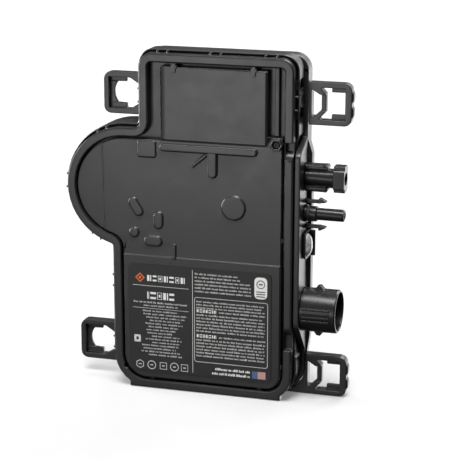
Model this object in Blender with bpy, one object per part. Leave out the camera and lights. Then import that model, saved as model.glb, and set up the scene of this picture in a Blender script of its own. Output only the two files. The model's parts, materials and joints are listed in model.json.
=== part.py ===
"""Solar microinverter: a flat potted enclosure with four mounting ears, two DC connectors and one AC connector.

The unit stands upright. +Z is up, +X points to the connector side and the label side faces -Y. The origin is
the centre of the bounding box's underside. Sizes below are in millimetres and are turned into metres by mm().
"""
import math

import bmesh
import bpy
from mathutils import Matrix, Vector

MM = 0.001
GAP = 0.3  # clearance between pieces that touch on the real unit
ORIGIN_X = 0.75  # moves the drawing so that X = 0 is midway across the whole unit

# Planes along Y, from the label side to the back.
Y_RIB_TOP = -15.1
Y_BOSS_TOP = -14.3
Y_LABEL_TOP = -14.3
Y_LABEL_ZONE = -13.7
Y_PLATE = -13.4
Y_RIM = -13.4
Y_MAIN_ZONE = -13.0
Y_COVER = -12.5
Y_COVER_INSIDE = -10.7
Y_COVER_SKIRT = -7.7
Y_CHANNEL_FLOOR = -7.4
Y_FRAME_BACK = -5.4
Y_MID_FRONT = -8.1
Y_MID_STEP = -5.1
Y_MID_BACK = 3.4
Y_REAR_FRONT = 4.9
Y_REAR_INSIDE = 13.1
Y_BACK = 15.1
Y_BLOCK_FRONT = -12.9
Y_BLOCK_STEP = 8.0

# Case outline, seen from the label side, in X and Z.
TOP_Z = 210.0
TOP_LEFT_X = -39.7
RIGHT_X = 55.8
LEFT_X = -57.5
TOP_RADIUS = 8.0
LOW_LEFT_RADIUS = 21.0
LOW_RIGHT_RADIUS = 16.0
BULGE_X = -49.7
BULGE_Z = 127.2
BULGE_RADIUS = 37.0
NECK_RADIUS = 4.0
WAIST_RADIUS = 2.5
FOOT_LEFT_X = -47.7
FOOT_RIGHT_X = 49.1
ARC_STEP = 7.5  # degrees between outline points
EDGE_RADIUS = 1.0  # rounding of the cover's raised forms

RIM_WIDTH = 5.6
RIM_ROUND = 1.1
LEDGE = 1.4  # rest for the cover's skirt
FRAME_BACK_FLOOR = 2.8
COVER_GAP = 1.0
COVER_SKIRT = 1.6
FLANGE = 2.0
SEAM_GAP = 0.8
MID_WALL = 3.0
REAR_RIGHT_X = 60.0
HUMP_X = 62.0
BLOCK_X = 56.6
SIDE_POCKETS_Z = ((191.6, 197.2), (173.8, 179.8))
SIDE_RIDGES_Z = (188.4, 181.4)
BLOCK_LOW_Z = 45.0
BLOCK_HIGH_Z = 155.5

# Raised plate in the upper pocket.
PLATE_LEFT_X = -26.2
PLATE_RIGHT_X = 39.8
PLATE_TOP_Z = 202.4
PLATE_SLOPE_X = -22.5
RIGHT_CHANNEL_Z = 163.2
RIGHT_CHANNEL_RIDGE_X = 45.0
SCREW_PLACE = (45.6, 159.2)

# Label section.
LABEL_ZONE_Z = 85.6
HALF_MOON_X = -63.1
LABEL_BOX = (-47.6, 12.0, 43.6, 80.3)
LABEL_RADIUS = 3.0

# Upper and lower Z of the two cuts across the right-hand rim, and how far the rim rounds off beside them.
UPPER_NOTCH = (155.5, 160.8)
LOWER_NOTCH = (32.8, 42.0)
RIM_END_ROUND = 6.0
Y_NOTCH_FLOOR = -9.4

# Connectors on the right-hand side; all axes run along X.
SOCKET_Z = 138.2
PLUG_Z = 115.9
LENS_Z = 96.6
AC_Z = 55.9
SOCKET_Y = 1.2
PLUG_Y = 1.2
LENS_Y = 1.2
AC_Y = 1.5
SOCKET_END_X = 84.4
PLUG_END_X = 84.2
AC_END_X = 82.0
LATCH_RISE = 7.7  # from the plug's axis to each latch arm's axis
AC_RADIUS = 13.4
AC_PIN_PITCH = 4.6
TERMINAL_X = 46.5  # inner ends of the conductors

# Ears: outer end X, lowest Z, side (+1 right, -1 left).
EAR_HEIGHT = 25.6
EAR_FRONT_Y = 4.9
EAR_BACK_Y = 11.4
EAR_RADIUS = 4.5
EAR_FINGER = 8.8
EARS = {  # outer end, lowest Z, side, and how far in the ear starts
    "ear_upper_right": (86.2, 168.9, 1, 59.0),
    "ear_lower_right": (86.2, 0.0, 1, 44.0),
    "ear_upper_left": (-68.6, 169.0, -1, -41.0),
    "ear_lower_left": (-87.2, 9.0, -1, -52.0),
}

# Circuit board stack behind the cover.
Y_BOARD_FRONT = -2.6
Y_BOARD_BACK = -1.0
Y_CHIP_BACK = 3.7
Y_PAD_BACK = 4.5
Y_SPREADER_BACK = 6.3
CORE_RADIUS = 24.0
BACK_PANEL_DEPTH = 0.8
BACK_PANELS_X = ((-28.0, 10.0), (14.0, 52.0))
BACK_PANELS_Z = ((12.0, 56.0), (61.0, 105.0), (110.0, 154.0), (159.0, 203.0))
BOARD_POSTS = ((-30.0, 18.0), (44.0, 18.0), (44.0, 196.0), (-30.0, 196.0))


# ---------------------------------------------------------------- materials and objects


def clear_scene():
    for item in list(bpy.data.objects):
        bpy.data.objects.remove(item, do_unlink=True)


def make_material(name, colour, roughness, metallic=0.0):
    material = bpy.data.materials.new(name)
    material.use_nodes = True
    shader = material.node_tree.nodes["Principled BSDF"]
    shader.inputs["Base Color"].default_value = (*colour, 1.0)
    shader.inputs["Roughness"].default_value = roughness
    shader.inputs["Metallic"].default_value = metallic
    material.diffuse_color = (*colour, 1.0)
    return material


COLOURS = {
    "case_plastic": ((0.030, 0.030, 0.032), 0.45, 0.0),
    "connector_plastic": ((0.018, 0.018, 0.019), 0.30, 0.0),
    "label_film": ((0.040, 0.042, 0.046), 0.40, 0.0),
    "seal_rubber": ((0.020, 0.020, 0.020), 0.80, 0.0),
    "plated_contact": ((0.72, 0.70, 0.66), 0.25, 1.0),
    "clear_lens": ((0.80, 0.82, 0.82), 0.08, 0.0),
    "circuit_board": ((0.03, 0.16, 0.08), 0.45, 0.0),
    "ferrite": ((0.09, 0.09, 0.10), 0.60, 0.0),
    "copper": ((0.72, 0.36, 0.20), 0.35, 1.0),
    "bobbin_plastic": ((0.60, 0.55, 0.42), 0.55, 0.0),
    "capacitor_plastic": ((0.62, 0.50, 0.12), 0.40, 0.0),
    "chip_plastic": ((0.03, 0.03, 0.03), 0.50, 0.0),
    "aluminium": ((0.76, 0.77, 0.78), 0.40, 1.0),
    "potting": ((0.05, 0.05, 0.05), 0.60, 0.0),
    "thermal_pad": ((0.45, 0.50, 0.58), 0.70, 0.0),
    "steel": ((0.55, 0.55, 0.56), 0.35, 1.0),
    "black_steel": ((0.04, 0.04, 0.04), 0.40, 1.0),
    "varistor_coat": ((0.08, 0.16, 0.42), 0.45, 0.0),
}


def make_object(name, shape, material):
    """Turn a bmesh in millimetres into an object in metres with outward faces."""
    bmesh.ops.recalc_face_normals(shape, faces=shape.faces)
    bmesh.ops.translate(shape, vec=(ORIGIN_X, 0.0, 0.0), verts=shape.verts)
    bmesh.ops.scale(shape, vec=(MM, MM, MM), verts=shape.verts)
    mesh = bpy.data.meshes.new(name)
    shape.to_mesh(mesh)
    shape.free()
    mesh.materials.append(bpy.data.materials[material])
    item = bpy.data.objects.new(name, mesh)
    bpy.context.collection.objects.link(item)
    return item


def smooth(item, degrees=35.0):
    item.data.shade_smooth()
    item.data.set_sharp_from_angle(angle=math.radians(degrees))


def add_boolean(item, shape, operation):
    """Join or cut item with a helper solid, which is kept as a hidden guide."""
    helper = make_object(f"{item.name}_{operation.lower()}_guide", shape, "case_plastic")
    helper.hide_render = True
    helper.display_type = "WIRE"
    modifier = item.modifiers.new(operation.title(), "BOOLEAN")
    modifier.operation = operation
    modifier.object = helper
    modifier.solver = "EXACT"
    modifier.use_self = True


# ---------------------------------------------------------------- outlines


def arc(centre_x, centre_z, radius, start, end, step=ARC_STEP):
    """Points of an arc from start to end degrees, both included."""
    count = max(2, round(abs(end - start) / step))
    points = []
    for i in range(count + 1):
        angle = math.radians(start + (end - start) * i / count)
        points.append((centre_x + radius * math.cos(angle), centre_z + radius * math.sin(angle)))
    return points


def bulge_arcs(grow):
    """The round bulge on the left and the small waist below it, from the bulge's top downwards."""
    reach = BULGE_RADIUS + WAIST_RADIUS
    waist_x = LEFT_X - WAIST_RADIUS
    drop = math.sqrt(reach**2 - (waist_x - BULGE_X) ** 2)
    angle = math.degrees(math.atan2(drop, BULGE_X - waist_x))
    points = arc(BULGE_X, BULGE_Z, BULGE_RADIUS + grow, 90.0, 180.0 + angle)
    points += arc(waist_x, BULGE_Z - drop, WAIST_RADIUS - grow, angle, 0.0, ARC_STEP * 2)
    return points


def case_outline(grow=0.0, foot=False, right_edge=None, floor_z=None, top_z=None):
    """Closed outline of the case, counter-clockwise from the low left corner, grown outwards by grow.

    right_edge replaces the low right corner and the straight right side by points from bottom to top. foot
    adds the rectangular foot strip. Growing never takes the underside below Z = 0.
    """
    floor = max(0.0, -grow) if floor_z is None else floor_z
    top = TOP_Z + grow if top_z is None else top_z
    left_radius = LOW_LEFT_RADIUS + grow
    right_radius = LOW_RIGHT_RADIUS + grow
    left_x = LEFT_X + LOW_LEFT_RADIUS
    right_x = RIGHT_X - LOW_RIGHT_RADIUS
    if foot:
        left_end = 360.0 - math.degrees(math.acos((FOOT_LEFT_X - left_x) / LOW_LEFT_RADIUS))
        right_start = -math.degrees(math.acos((FOOT_RIGHT_X - right_x) / LOW_RIGHT_RADIUS))
        points = arc(left_x, floor + left_radius, left_radius, 180.0, left_end)
        points += [(FOOT_LEFT_X - grow, floor), (FOOT_RIGHT_X + grow, floor)]
        points += arc(right_x, floor + right_radius, right_radius, right_start, 0.0)
    else:
        points = arc(left_x, floor + left_radius, left_radius, 180.0, 270.0)
        points += right_edge or arc(right_x, floor + right_radius, right_radius, -90.0, 0.0)
    side_x = points[-1][0]
    corner = TOP_RADIUS + grow
    points += arc(side_x - corner, top - corner, corner, 0.0, 90.0)
    points += arc(TOP_LEFT_X + TOP_RADIUS, top - corner, corner, 90.0, 180.0)
    neck_z = BULGE_Z + BULGE_RADIUS + NECK_RADIUS
    points += arc(TOP_LEFT_X - NECK_RADIUS, neck_z, NECK_RADIUS - grow, 0.0, -90.0, ARC_STEP * 2)
    return points + bulge_arcs(grow)


def rear_right_edge(grow=0.0):
    """Right-hand side of the rear housing: straight, with the connector hump bulging out in the middle."""
    radius = LOW_RIGHT_RADIUS + FLANGE
    edge = REAR_RIGHT_X + grow
    hump = HUMP_X + grow
    points = arc(REAR_RIGHT_X - radius, radius, radius + grow, -90.0, 0.0)
    right_edge = [(edge, 24.0), (hump, 37.0), (hump, 151.0), (edge, 158.0)]
    return points + right_edge + [(edge, TOP_Z - 2 * TOP_RADIUS)]


def cover_outline(inset=0.0):
    """Outline of the clipped-in cover, which steps in beside the two channels of the upper pocket."""
    grow = -(RIM_WIDTH + COVER_GAP + inset)
    left_radius = LOW_LEFT_RADIUS + grow
    right_radius = LOW_RIGHT_RADIUS + grow
    step_z = RIGHT_CHANNEL_Z - inset
    low_x = PLATE_LEFT_X + inset
    high_x = PLATE_RIGHT_X - inset
    points = arc(LEFT_X + LOW_LEFT_RADIUS, LOW_LEFT_RADIUS, left_radius, 180.0, 270.0)
    points += arc(RIGHT_X - LOW_RIGHT_RADIUS, LOW_RIGHT_RADIUS, right_radius, -90.0, 0.0)
    points += [(RIGHT_X + grow, step_z), (high_x, step_z), (high_x, PLATE_TOP_Z - inset)]
    points += [(low_x, PLATE_TOP_Z - inset), (low_x, BULGE_Z + BULGE_RADIUS + grow)]
    return points + bulge_arcs(grow)


def clip(points, axis, limit, keep_above):
    """Part of an outline on one side of a straight line at points[axis] = limit."""
    kept = []
    for here, there in zip(points, points[1:] + points[:1]):
        here_in = (here[axis] > limit) == keep_above
        there_in = (there[axis] > limit) == keep_above
        if here_in:
            kept.append(here)
        if here_in != there_in:
            part = (limit - here[axis]) / (there[axis] - here[axis])
            kept.append(tuple(a + (b - a) * part for a, b in zip(here, there)))
    return kept


def rounded_box_outline(low_x, low_z, high_x, high_z, radius, step=22.5):
    points = arc(low_x + radius, low_z + radius, radius, 180.0, 270.0, step)
    points += arc(high_x - radius, low_z + radius, radius, 270.0, 360.0, step)
    points += arc(high_x - radius, high_z - radius, radius, 0.0, 90.0, step)
    points += arc(low_x + radius, high_z - radius, radius, 90.0, 180.0, step)
    return points


def slot_outline(centre_x, centre_z, length, width, degrees=0.0, step=22.5):
    """Pill shape of a given overall length and width, turned by degrees."""
    reach = (length - width) / 2
    turn = math.radians(degrees)
    raw = arc(reach, 0.0, width / 2, -90.0, 90.0, step) + arc(-reach, 0.0, width / 2, 90.0, 270.0, step)
    points = []
    for x, z in raw:
        turned_x = x * math.cos(turn) - z * math.sin(turn)
        turned_z = x * math.sin(turn) + z * math.cos(turn)
        points.append((centre_x + turned_x, centre_z + turned_z))
    return points


def circle_outline(centre_x, centre_z, radius, step=15.0):
    return arc(centre_x, centre_z, radius, 0.0, 360.0 - step, step)


# ---------------------------------------------------------------- solids


def without_repeats(points):
    """The points without those that lie on the one before them."""
    return [point for i, point in enumerate(points) if math.dist(point, points[i - 1]) > 0.01]


def add_loop(shape, points, depth, axis="Y"):
    """Add a closed loop of vertices and edges. points are the two coordinates other than axis."""
    points = without_repeats(points)
    place = {
        "X": lambda a, b: (depth, a, b),
        "Y": lambda a, b: (a, depth, b),
        "Z": lambda a, b: (a, b, depth),
    }[axis]
    verts = [shape.verts.new(place(a, b)) for a, b in points]
    edges = [shape.edges.new((a, b)) for a, b in zip(verts, verts[1:] + verts[:1])]
    return verts, edges


def add_wall(shape, first, second):
    """Join two vertex loops of equal length with quads."""
    count = len(first)
    for i in range(count):
        j = (i + 1) % count
        shape.faces.new((first[i], first[j], second[j], second[i]))


def add_prism(shape, points, low, high, axis="Y", holes=()):
    """Add a closed prism along axis between two depths, with optional through holes."""
    loops = [points, *holes]
    ends = []
    for depth in (low, high):
        made = [add_loop(shape, loop, depth, axis) for loop in loops]
        ends.append([verts for verts, _ in made])
        if holes:
            edges = [edge for _, loop_edges in made for edge in loop_edges]
            bmesh.ops.triangle_fill(shape, use_beauty=True, edges=edges)
        else:
            shape.faces.new(made[0][0])
    for first, second in zip(*ends):
        add_wall(shape, first, second)


def prism(points, low, high, axis="Y", holes=()):
    shape = bmesh.new()
    add_prism(shape, points, low, high, axis, holes)
    return shape


def add_button(shape, outline, top, base, radius=EDGE_RADIUS):
    """Add a raised form whose front edge is rounded; outline(inset) gives its outline shrunk by inset."""
    rings = [add_loop(shape, outline(0.0), base)[0]]
    for degrees in (0.0, 22.5, 45.0, 67.5, 90.0):
        angle = math.radians(degrees)
        inset = radius * (1.0 - math.cos(angle))
        rings.append(add_loop(shape, outline(inset), top + radius * (1.0 - math.sin(angle)))[0])
    for first, second in zip(rings, rings[1:]):
        add_wall(shape, first, second)
    shape.faces.new(rings[0])
    shape.faces.new(rings[-1])


def add_slot_button(shape, place, length, width, degrees, top, base, radius=EDGE_RADIUS):
    def outline(inset):
        return slot_outline(*place, length - 2 * inset, width - 2 * inset, degrees)

    add_button(shape, outline, top, base, radius)


def add_round_button(shape, place, radius, top, base, step=15.0):
    add_button(shape, lambda inset: circle_outline(*place, radius - inset, step), top, base)


def add_box(shape, low, high):
    outline = [(low[0], low[2]), (high[0], low[2]), (high[0], high[2]), (low[0], high[2])]
    add_prism(shape, outline, low[1], high[1])


def stepped_shell(outer, pocket, open_y, floor_y, closed_y, hole=None, shoulder=None, rim_rings=()):
    """Shell of one outline with a pocket from open_y to floor_y and a floor between floor_y and closed_y.

    hole, where given, goes through the floor. shoulder is a (outline, y) pair: beyond that y the outside steps
    in to that outline. rim_rings are (outer, pocket, y) rows that round the open rim, from the front backwards.
    The pocket may open towards either side.
    """
    shape = bmesh.new()
    rings = [*rim_rings] or [(outer, pocket, open_y)]
    rim, rim_edges = add_loop(shape, rings[0][0], rings[0][2])
    mouth, mouth_edges = add_loop(shape, rings[0][1], rings[0][2])
    bmesh.ops.triangle_fill(shape, use_beauty=True, edges=rim_edges + mouth_edges)
    for ring_outer, ring_pocket, y in rings[1:]:
        next_rim = add_loop(shape, ring_outer, y)[0]
        next_mouth = add_loop(shape, ring_pocket, y)[0]
        add_wall(shape, rim, next_rim)
        add_wall(shape, mouth, next_mouth)
        rim = next_rim
        mouth = next_mouth
    floor, floor_edges = add_loop(shape, pocket, floor_y)
    add_wall(shape, mouth, floor)
    back_outline = outer
    if shoulder:
        back_outline, shoulder_y = shoulder
        wide, wide_edges = add_loop(shape, outer, shoulder_y)
        narrow, narrow_edges = add_loop(shape, back_outline, shoulder_y)
        add_wall(shape, rim, wide)
        bmesh.ops.triangle_fill(shape, use_beauty=True, edges=wide_edges + narrow_edges)
        rim = narrow
    back, back_edges = add_loop(shape, back_outline, closed_y)
    add_wall(shape, rim, back)
    if hole is None:
        shape.faces.new(floor)
        shape.faces.new(back)
        return shape
    upper, upper_edges = add_loop(shape, hole, floor_y)
    lower, lower_edges = add_loop(shape, hole, closed_y)
    bmesh.ops.triangle_fill(shape, use_beauty=True, edges=floor_edges + upper_edges)
    bmesh.ops.triangle_fill(shape, use_beauty=True, edges=back_edges + lower_edges)
    add_wall(shape, upper, lower)
    return shape


def add_turned(shape, profile, centre, axis="X", steps=24):
    """Revolve a closed profile of (distance along axis, radius) pairs about an axis through centre."""
    along = {"X": Vector((1, 0, 0)), "Y": Vector((0, 1, 0))}[axis]
    across = Vector((0, 0, 1))
    middle = Vector(centre)
    verts = [shape.verts.new(middle + along * d + across * r) for d, r in profile]
    edges = [shape.edges.new((a, b)) for a, b in zip(verts, verts[1:] + verts[:1])]
    geometry = verts + edges
    bmesh.ops.spin(shape, geom=geometry, cent=middle, axis=along, angle=math.tau, steps=steps, use_merge=True)
    bmesh.ops.remove_doubles(shape, verts=shape.verts, dist=0.0005)
    thin = [edge for edge in shape.edges if not edge.link_faces]
    bmesh.ops.delete(shape, geom=thin, context="EDGES")


def turned(profile, centre, axis="X", steps=24):
    shape = bmesh.new()
    add_turned(shape, profile, centre, axis, steps)
    return shape


def add_rod(shape, across, radius, low, high, axis="X", steps=16):
    """Add a plain round rod along an axis; across holds its two coordinates on the other axes."""
    add_prism(shape, circle_outline(*across, radius, 360.0 / steps), low, high, axis)


# ---------------------------------------------------------------- case


def seam_rib_places():
    """Places and outward directions of the paired ribs that bridge the seam round the rim."""
    places = []
    for x in (-28.3, -22.2, 4.3, 11.0, 38.0, 45.0):
        places.append((x, TOP_Z, 90.0))
    for z in (180.0, 188.0):
        places.append((TOP_LEFT_X, z, 180.0))
        places.append((RIGHT_X, z, 0.0))
    for z in (24.0, 31.0, 64.0, 71.0):
        places.append((LEFT_X, z, 180.0))
    for angle in (107.5, 117.0, 171.0, 183.5, 234.5, 244.0):
        turn = math.radians(angle)
        x = BULGE_X + BULGE_RADIUS * math.cos(turn)
        z = BULGE_Z + BULGE_RADIUS * math.sin(turn)
        places.append((x, z, angle))
    return places


def add_seam_ribs(shape):
    width = 1.1
    reach_in = 0.6
    reach_out = 1.5
    for x, z, degrees in seam_rib_places():
        first = len(shape.verts)
        add_box(shape, (-reach_in, -11.6, -width / 2), (reach_out, Y_MID_FRONT - GAP, width / 2))
        shape.verts.ensure_lookup_table()
        verts = shape.verts[first:]
        turn = Matrix.Rotation(-math.radians(degrees), 4, "Y")
        bmesh.ops.transform(shape, matrix=Matrix.Translation((x, 0.0, z)) @ turn, verts=verts)


def notch_profile(low, high):
    """Cut across the right-hand rim in Y and Z, flaring open where the neighbouring rim end is rounded."""
    outside = Y_RIM - 2.0
    depth = Y_NOTCH_FLOOR
    if low > BLOCK_LOW_Z:
        round_end = arc(Y_RIM + RIM_END_ROUND, low - RIM_END_ROUND, RIM_END_ROUND, 180.0, 90.0, 15.0)
        side = [(outside, high), (outside, low - RIM_END_ROUND)]
        return side + round_end[:-2] + [(depth, low), (depth, high)]
    round_end = arc(Y_RIM + RIM_END_ROUND, high + RIM_END_ROUND, RIM_END_ROUND, 180.0, 270.0, 15.0)
    return [(outside, low), (outside, high + RIM_END_ROUND), *round_end[:-2], (depth, high), (depth, low)]


def make_front_frame():
    """Rim moulding: the outer band, the channel floors behind the cover and the seam ribs."""
    outer = case_outline(foot=True)
    narrow = case_outline(-0.4, floor_z=FRAME_BACK_FLOOR)
    pocket = case_outline(-RIM_WIDTH)
    hole = cover_outline(COVER_SKIRT + LEDGE)
    rings = []
    for degrees in (90.0, 60.0, 30.0, 0.0):
        angle = math.radians(degrees)
        inset = RIM_ROUND * (1.0 - math.cos(angle))
        y = Y_RIM + RIM_ROUND * (1.0 - math.sin(angle))
        rings.append((case_outline(-inset, foot=True), case_outline(inset - RIM_WIDTH), y))
    shoulder = (narrow, Y_MID_FRONT - GAP)
    shape = stepped_shell(outer, pocket, Y_RIM, Y_CHANNEL_FLOOR, Y_FRAME_BACK, hole, shoulder, rings)
    frame = make_object("front_frame", shape, "case_plastic")
    joined = bmesh.new()
    add_seam_ribs(joined)
    ridge_low = (RIGHT_CHANNEL_RIDGE_X - 1.4, Y_CHANNEL_FLOOR - 3.0, RIGHT_CHANNEL_Z + 0.6)
    ridge_high = (RIGHT_CHANNEL_RIDGE_X + 1.4, Y_CHANNEL_FLOOR + 1.0, TOP_Z - RIM_WIDTH + 1.0)
    add_box(joined, ridge_low, ridge_high)
    add_boolean(frame, joined, "UNION")
    cuts = bmesh.new()
    for low, high in (UPPER_NOTCH, LOWER_NOTCH):
        add_prism(cuts, notch_profile(low, high), RIGHT_X - RIM_WIDTH + 0.8, RIGHT_X + 1.0, "X")
    add_rod(cuts, (-49.6, 13.2), 1.7, Y_RIM - 1.0, Y_CHANNEL_FLOOR - 1.0, "Y", 12)
    add_boolean(frame, cuts, "DIFFERENCE")
    smooth(frame)


def make_front_cover():
    """Clipped-in cover with its stepped zones, raised plate, bosses and ribs."""
    outer = cover_outline()
    pocket = cover_outline(COVER_SKIRT)
    shape = stepped_shell(outer, pocket, Y_COVER_SKIRT, Y_COVER_INSIDE, Y_COVER)
    cover = make_object("front_cover", shape, "case_plastic")
    inset = cover_outline(0.35)
    lower = clip(inset, 1, RIGHT_CHANNEL_Z - 5.5, False)
    main_zone = prism(clip(lower, 0, HALF_MOON_X, True), Y_MAIN_ZONE, Y_COVER + 0.8)
    add_boolean(cover, main_zone, "UNION")
    label_zone = prism(clip(cover_outline(0.7), 1, LABEL_ZONE_Z, False), Y_LABEL_ZONE, Y_COVER + 0.5)
    add_boolean(cover, label_zone, "UNION")
    raised = bmesh.new()
    wedge = [
        (PLATE_LEFT_X + 0.4, Y_COVER + 0.6),
        (PLATE_LEFT_X + 0.4, Y_COVER - 0.2),
        (PLATE_SLOPE_X, Y_PLATE),
        (PLATE_RIGHT_X - 1.4, Y_PLATE),
        (PLATE_RIGHT_X - 0.4, Y_COVER - 0.4),
        (PLATE_RIGHT_X - 0.4, Y_COVER + 0.6),
    ]
    add_prism(raised, wedge, RIGHT_CHANNEL_Z - 4.8, PLATE_TOP_Z - 0.4, "Z")
    for x, z, length, width, degrees in (
        (-42.2, 116.0, 12.6, 6.0, -58.0),
        (-27.9, 108.4, 10.8, 6.2, 90.0),
        (-31.2, 95.2, 11.6, 6.6, 0.0),
    ):
        add_slot_button(raised, (x, z), length, width, degrees, Y_BOSS_TOP, Y_COVER + 0.4)
    add_round_button(raised, (-43.4, 99.9), 3.2, Y_BOSS_TOP, Y_COVER + 0.4, 22.5)
    add_round_button(raised, (19.5, 119.4), 7.6, Y_BOSS_TOP, Y_COVER + 0.4)
    add_slot_button(raised, (3.8, 153.9), 60.6, 4.8, 0.0, Y_RIB_TOP, Y_COVER + 0.4)

    def pad_outline(inset):
        corners = (-40.8 + inset, 147.0 + inset, -29.0 - inset, 157.3 - inset)
        return rounded_box_outline(*corners, 1.4 - inset, 45.0)

    add_button(raised, pad_outline, Y_MAIN_ZONE - 0.9, Y_COVER + 0.2, 0.8)
    hexagon = circle_outline(*SCREW_PLACE, 3.9, 60.0)
    add_prism(raised, hexagon, Y_BOSS_TOP, Y_COVER + 0.4)
    add_boolean(cover, raised, "UNION")
    ribs = bmesh.new()
    add_slot_button(ribs, (6.4, 145.8), 18.0, 6.0, 90.0, Y_RIB_TOP + 0.02, Y_COVER + 0.3)
    add_slot_button(ribs, (-1.6, 147.2), 13.0, 1.8, 40.0, Y_BOSS_TOP, Y_COVER + 0.3, 0.5)
    add_slot_button(ribs, (-17.5, 89.4), 9.6, 1.4, 90.0, Y_BOSS_TOP, Y_COVER + 0.3, 0.4)
    add_boolean(cover, ribs, "UNION")
    tabs = bmesh.new()
    add_cover_tabs(tabs)
    add_boolean(cover, tabs, "UNION")
    recess = prism(circle_outline(*SCREW_PLACE, 2.6, 60.0), Y_BOSS_TOP - 1.0, Y_COVER + 1.0)
    add_boolean(cover, recess, "DIFFERENCE")
    smooth(cover)


def add_cover_tabs(shape):
    """Small snap tabs round the cover's edge, reaching across the gap to the rim."""
    low = Y_RIM + 0.4
    high = Y_COVER + 1.6
    half = 1.5
    for x in (-17.4, 31.6):
        add_box(shape, (x - half, low, PLATE_TOP_Z - 0.8), (x + half, high, TOP_Z - RIM_WIDTH - GAP))
    edge = RIM_WIDTH + GAP
    inside = RIM_WIDTH + COVER_GAP + 0.8
    for x in (-33.0, 36.0):
        add_box(shape, (x - half, low + 0.3, edge), (x + half, high, inside))
    for z in (21.5, 101.0):
        add_box(shape, (RIGHT_X - inside, low + 0.3, z - half), (RIGHT_X - edge, high, z + half))


def make_middle_housing():
    """Flanged middle shell. The rim's back part sits in its front pocket."""
    outer = case_outline(FLANGE)
    pocket = case_outline(SEAM_GAP, floor_z=FRAME_BACK_FLOOR - SEAM_GAP)
    bore = case_outline(-MID_WALL)
    shape = stepped_shell(outer, pocket, Y_MID_FRONT, Y_MID_STEP, Y_MID_BACK, bore)
    housing = make_object("middle_housing", shape, "case_plastic")
    cuts = bmesh.new()
    far = RIGHT_X + FLANGE + 1.0
    near = BLOCK_X - 0.4
    space = [(far, 25.0), (near, 29.0), (near, 162.0), (far, 166.0)]
    add_prism(cuts, space, Y_MID_FRONT - 1.0, Y_MID_BACK + 1.0)
    add_boolean(housing, cuts, "DIFFERENCE")
    passages = bmesh.new()
    add_lead_passages(passages)
    for low, high in SIDE_POCKETS_Z:
        add_box(passages, (RIGHT_X - 0.4, Y_MID_FRONT + 2.6, low), (far, Y_MID_BACK + 1.0, high))
    add_boolean(housing, passages, "DIFFERENCE")
    ridges = bmesh.new()
    for z in SIDE_RIDGES_Z:
        edge = RIGHT_X + FLANGE
        add_box(ridges, (edge - 0.6, Y_MID_FRONT + 2.2, z - 0.5), (edge + 0.5, Y_MID_BACK - 0.4, z + 0.5))
    add_boolean(housing, ridges, "UNION")
    smooth(housing)


def lead_places():
    """Y, Z and radius of each conductor that passes through the right-hand wall."""
    places = [(SOCKET_Y, SOCKET_Z, 1.2), (PLUG_Y, PLUG_Z, 1.2)]
    for turn in (-1, 0, 1):
        places.append((AC_Y, AC_Z + turn * AC_PIN_PITCH, 1.0))
    return places


def add_lead_passages(shape):
    for y, z, radius in lead_places():
        add_rod(shape, (y, z), radius + 0.4, 50.0, 66.0, "X", 12)


def make_housing_seal():
    outline = case_outline(-0.5)
    inner = case_outline(-1.6)
    shape = prism(outline, Y_MID_BACK + GAP, Y_REAR_FRONT - GAP, holes=[inner])
    make_object("housing_seal", shape, "seal_rubber")


def block_profile():
    """Connector block in Y and Z: slanted ends, rounded where they meet its front."""
    deep = Y_REAR_FRONT + 1.0
    shoulder = Y_BLOCK_FRONT + RIM_END_ROUND * 0.6
    low = BLOCK_LOW_Z
    high = BLOCK_HIGH_Z
    return [
        (deep, low - 17.0),
        (deep, high + 6.5),
        (shoulder, high),
        (Y_BLOCK_FRONT + 0.8, high - 2.6),
        (Y_BLOCK_FRONT, high - RIM_END_ROUND),
        (Y_BLOCK_FRONT, low + RIM_END_ROUND),
        (Y_BLOCK_FRONT + 0.8, low + 2.6),
        (shoulder, low),
    ]


def make_rear_housing():
    """Rear pan with the connector block, board posts and shallow panels in its back."""
    outer = case_outline(FLANGE, right_edge=rear_right_edge(), top_z=TOP_Z + 0.6)
    pocket = case_outline(-1.8)
    shape = stepped_shell(outer, pocket, Y_REAR_FRONT, Y_REAR_INSIDE, Y_BACK)
    housing = make_object("rear_housing", shape, "case_plastic")
    add_boolean(housing, prism(block_profile(), BLOCK_X, REAR_RIGHT_X, "X"), "UNION")
    posts = bmesh.new()
    for place in BOARD_POSTS:
        add_rod(posts, place, 3.0, Y_BOARD_BACK + GAP, Y_REAR_INSIDE + 1.0, "Y")
    add_boolean(housing, posts, "UNION")
    cuts = bmesh.new()
    hump_step = [(REAR_RIGHT_X, 4.0), (HUMP_X + 1.0, 4.0), (HUMP_X + 1.0, Y_BLOCK_STEP + 1.0)]
    hump_step += [(HUMP_X, Y_BLOCK_STEP + 0.6), (REAR_RIGHT_X, Y_BLOCK_STEP - 0.6)]
    add_prism(cuts, hump_step, 10.0, 170.0, "Z")
    add_rod(cuts, (AC_Y, AC_Z), AC_RADIUS + 0.5, REAR_RIGHT_X, HUMP_X + 1.0, "X", 32)
    for low_z, high_z in BACK_PANELS_Z:
        for low_x, high_x in BACK_PANELS_X:
            outline = rounded_box_outline(low_x, low_z, high_x, high_z, 3.0, 45.0)
            add_prism(cuts, outline, Y_BACK - BACK_PANEL_DEPTH, Y_BACK + 1.0)
    add_prism(cuts, circle_outline(BULGE_X - 6.0, BULGE_Z, 22.0), Y_BACK - BACK_PANEL_DEPTH, Y_BACK + 1.0)
    add_boolean(housing, cuts, "DIFFERENCE")
    passages = bmesh.new()
    add_lead_passages(passages)
    add_boolean(housing, passages, "DIFFERENCE")
    smooth(housing)


# ---------------------------------------------------------------- ears


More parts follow.
